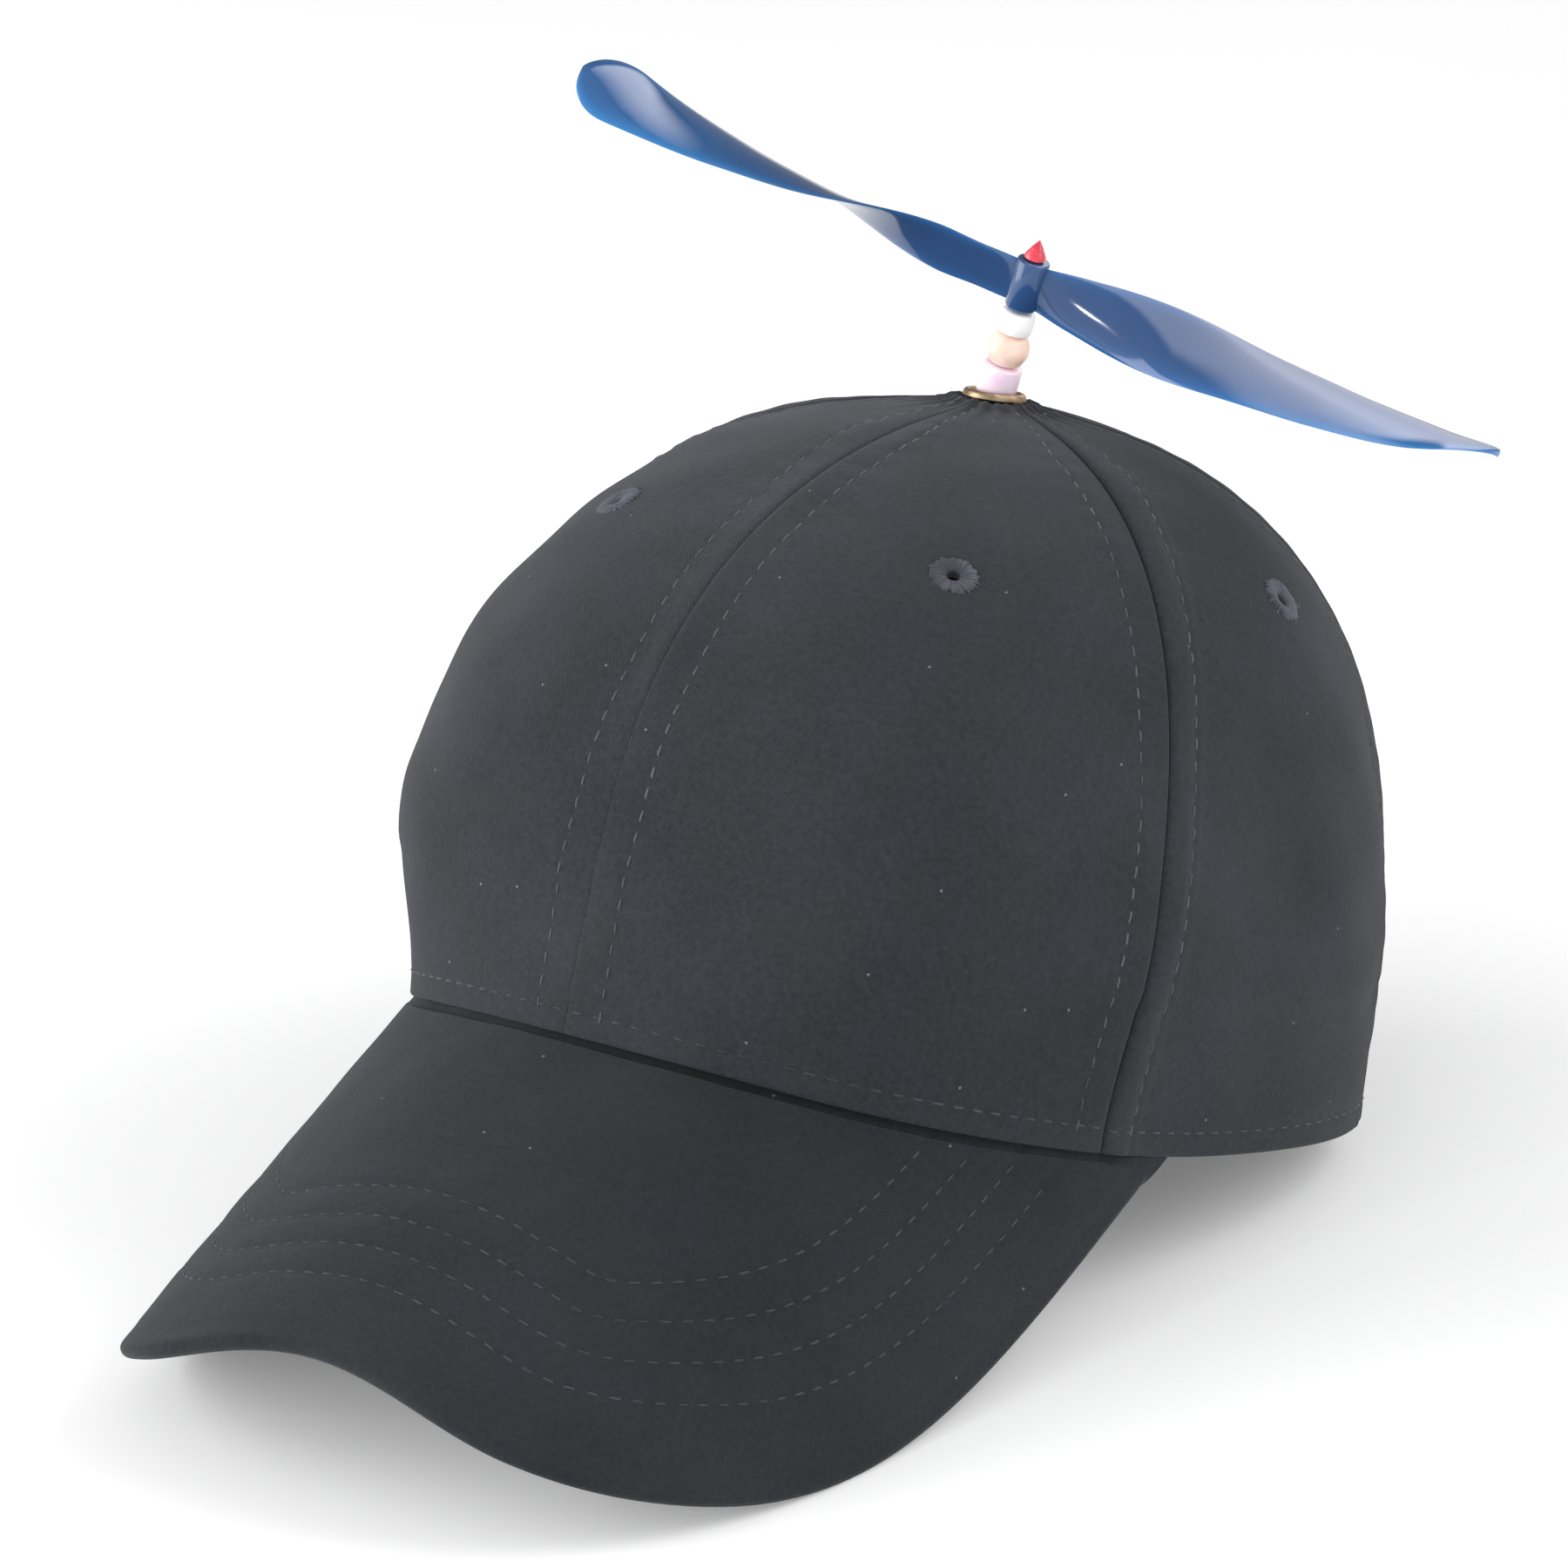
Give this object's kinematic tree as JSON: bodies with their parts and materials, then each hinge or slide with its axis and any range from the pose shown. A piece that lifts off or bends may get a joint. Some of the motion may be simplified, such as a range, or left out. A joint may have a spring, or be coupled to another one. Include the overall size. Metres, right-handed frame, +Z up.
{
  "type": "propeller cap",
  "caption": "Dark cotton baseball-style cap with a sewn panel crown, a curved peak and a beaded stem on top that carries a blue spinning propeller.",
  "frame": {"origin": "on the surface that the cap stands on, under the middle of the whole object's box", "axes": "+Z up, the peak towards -Y, +X to the wearer's left, with the rim tilted as the cap stands by itself"},
  "size_m": [0.1852, 0.2848, 0.2086],
  "materials": {
    "cloth": "matt charcoal cotton twill",
    "thread": "dark satin-stitched embroidery thread",
    "brass": "antique brass, slightly dulled",
    "steel": "plain wire",
    "pink_plastic": "pale pink, soft gloss",
    "peach_plastic": "pale peach, soft gloss",
    "white_plastic": "white, soft gloss",
    "blue_plastic": "glossy moulded blue",
    "red_plastic": "glossy coral red"
  },
  "bodies": {
    "cap": {"panel_front_left": "cloth", "panel_side_left": "cloth", "panel_back_left": "cloth", "panel_back_right": "cloth", "panel_side_right": "cloth", "panel_front_right": "cloth", "peak": "cloth", "sweatband": "cloth", "eyelet_front_left": "thread", "eyelet_side_left": "thread", "eyelet_back_left": "thread", "eyelet_back_right": "thread", "eyelet_side_right": "thread", "eyelet_front_right": "thread", "grommet": "brass", "stem_pin": "steel", "sleeve_pink": "pink_plastic", "bead_peach": "peach_plastic", "sleeve_white": "white_plastic", "tip_red": "red_plastic"},
    "propeller": {"propeller": "blue_plastic"}
  },
  "joints": [
    {"name": "propeller_spin", "type": "hinge", "parent": "cap", "child": "propeller", "pos_m": [-0.00296, 0.07775, 0.16921], "axis": [0.2692, 0.1057, 0.9573], "continuous": true}
  ]
}
